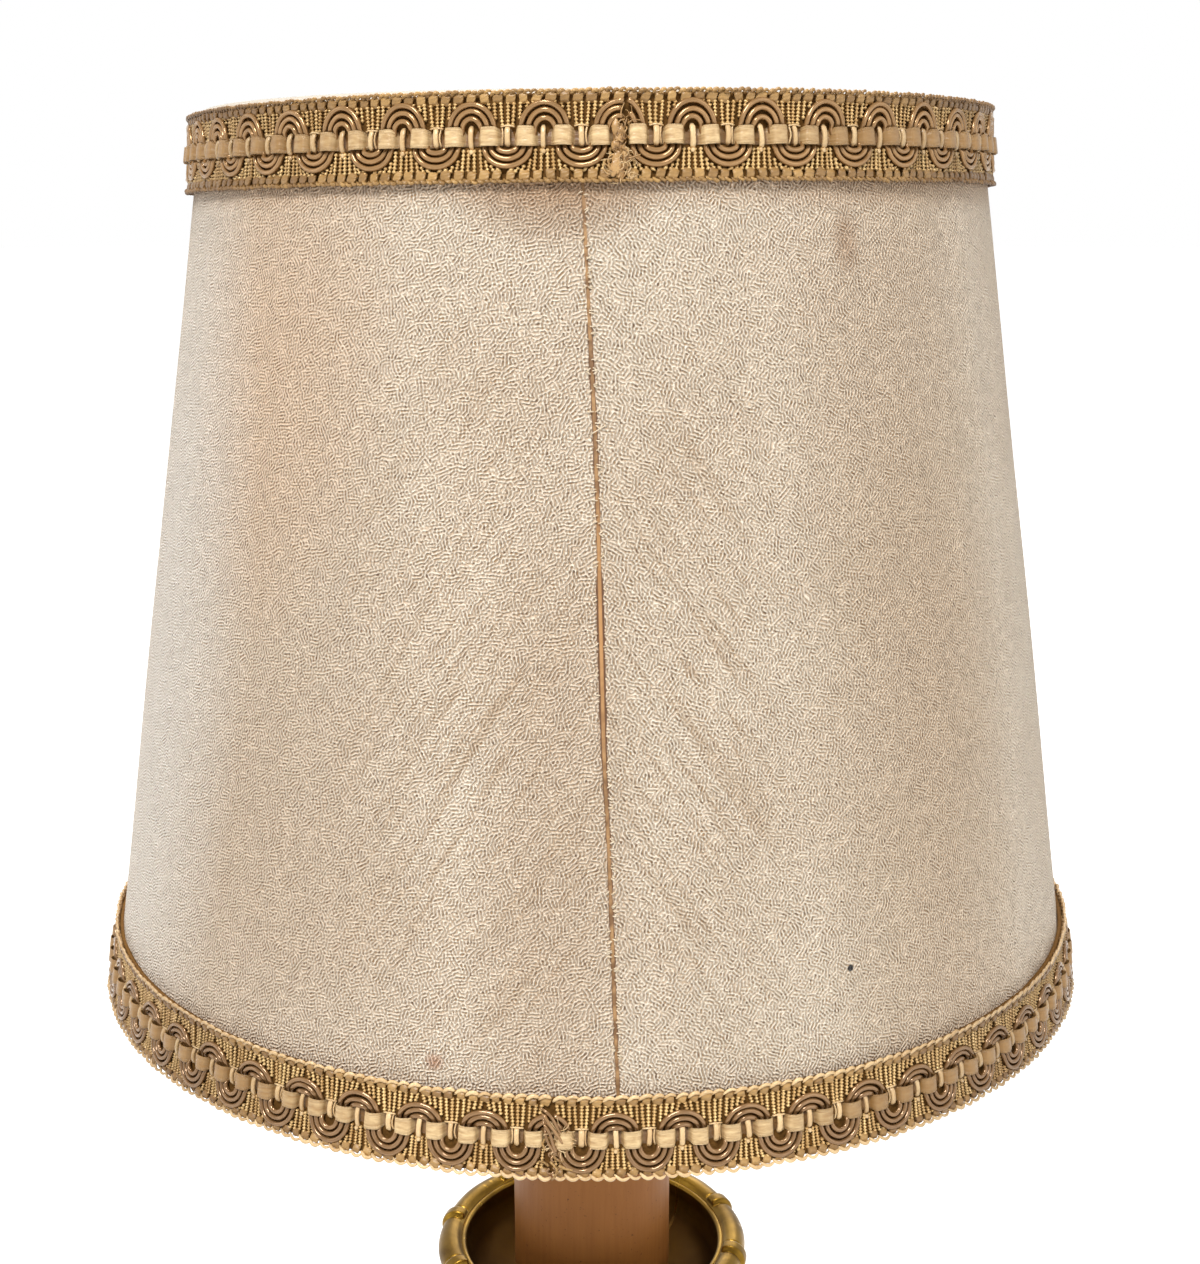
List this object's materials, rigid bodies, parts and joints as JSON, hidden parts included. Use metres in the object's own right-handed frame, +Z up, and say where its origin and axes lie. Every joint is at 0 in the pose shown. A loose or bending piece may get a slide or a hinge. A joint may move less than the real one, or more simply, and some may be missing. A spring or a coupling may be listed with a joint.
{
  "type": "candle lamp",
  "caption": "Table lamp: fabric empire shade with gimp braid, over a candle sleeve standing in a banded brass drip pan on a cane-like stem and weighted foot.",
  "frame": {"origin": "on the lamp's axis, at the surface that the felt pad rests on", "axes": "+Z up along the lamp's axis; -Y is the front, with the shade's seam; +Y is the back, with the cord inlet; +X is right"},
  "size_m": [0.2122, 0.2122, 0.41],
  "materials": {
    "brass": "aged, warm olive brass, worn bright on the raised bands",
    "holder_brass": "satin brass",
    "candle_card": "satin tan-brown candle sleeve with faint vertical marks",
    "felt": "dark green felt",
    "cast_iron": "raw casting",
    "steel": "zinc plated",
    "bush_plastic": "dark brown moulded",
    "bakelite": "moulded, dark brown",
    "contact_metal": "bright pressed brass",
    "frame_wire": "off-white coated wire",
    "shade_backing": "matt white sheet",
    "shade_fabric": "cream crepe, slightly stained and yellowed",
    "braid": "old gold satin gimp braid",
    "bulb_metal": "bright pressed cap",
    "bulb_black": "black glassy insulator",
    "bulb_glass": "clear",
    "filament": "yellow coated strips"
  },
  "bodies": {
    "lamp": {"base_felt": "felt", "foot": "brass", "ballast_disc": "cast_iron", "rod_washer": "steel", "rod_nuts": "steel", "threaded_rod": "steel", "cord_bushing": "bush_plastic", "stem_collar_lower": "brass", "stem_shaft": "brass", "stem_collar_upper": "brass", "pan_cup": "brass", "drip_pan": "brass", "sleeve_seat": "brass", "candle_sleeve": "candle_card", "holder_cap": "holder_brass", "holder_shell": "holder_brass", "holder_insert": "bakelite", "contact_shell": "contact_metal", "centre_contact": "contact_metal", "side_contact": "contact_metal", "terminal_screws": "steel", "lower_shade_ring": "holder_brass"},
    "clamp_ring": {"clamp_ring": "holder_brass"},
    "shade": {"fitter_ring": "frame_wire", "fitter_arms": "frame_wire", "bottom_wire_ring": "frame_wire", "top_wire_ring": "frame_wire", "shade_backing": "shade_backing", "shade_fabric": "shade_fabric", "bottom_braid": "braid", "top_braid": "braid"},
    "bulb_tip": {"bulb_contact": "bulb_metal", "bulb_insulator": "bulb_black"},
    "bulb": {"bulb_cap": "bulb_metal", "bulb_stem": "bulb_glass", "bulb_filament": "filament", "bulb_glass": "bulb_glass"}
  },
  "joints": [
    {"name": "shade_lift", "type": "slide", "parent": "lamp", "child": "clamp_ring", "axis": [0, 0, 1], "range_m": [0, 0.11]},
    {"name": "shade_turn", "type": "hinge", "parent": "clamp_ring", "child": "shade", "pos_m": [0, 0, 0.277], "axis": [0, 0, 1], "continuous": true},
    {"name": "bulb_rise", "type": "slide", "parent": "lamp", "child": "bulb_tip", "axis": [0, 0, 1], "range_m": [0, 0.0255]},
    {"name": "bulb_turn", "type": "hinge", "parent": "bulb_tip", "child": "bulb", "pos_m": [0, 0, 0.28], "axis": [0, 0, 1], "range_deg": [0, 2520]}
  ],
  "couplings": [
    {"joint": "bulb_rise", "follows": "bulb_turn", "m_per_rad": 0.00057757}
  ]
}
